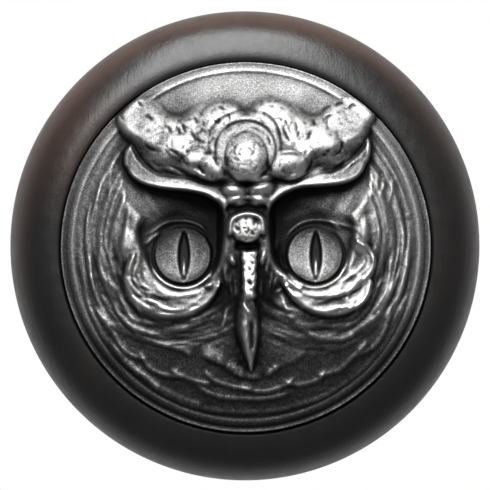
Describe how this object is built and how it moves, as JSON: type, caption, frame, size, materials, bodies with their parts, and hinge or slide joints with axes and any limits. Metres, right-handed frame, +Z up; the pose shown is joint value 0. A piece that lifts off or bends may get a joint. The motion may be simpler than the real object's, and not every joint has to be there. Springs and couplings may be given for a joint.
{
  "type": "cabinet knob",
  "caption": "Round turned wooden cabinet knob with a cast pewter owl-face medallion let into its front and a threaded insert in its foot.",
  "frame": {"origin": "centre of the foot's mounting face, on the knob's turning axis", "axes": "+Y out of the foot into the door, so the owl faces -Y; +Z up towards the owl's forehead; +X to the right as seen by a person facing the knob"},
  "size_m": [0.0382, 0.0286, 0.0382],
  "materials": {
    "stained_wood": "dark walnut stain under satin lacquer",
    "antique_pewter": "cast pewter, blackened in the hollows and rubbed bright on the high points",
    "epoxy": "cured two-part adhesive",
    "insert_brass": "plain machined"
  },
  "bodies": {
    "root": {"knob_body": "stained_wood", "owl_medallion": "antique_pewter", "adhesive_bond": "epoxy", "threaded_insert": "insert_brass"}
  },
  "joints": []
}
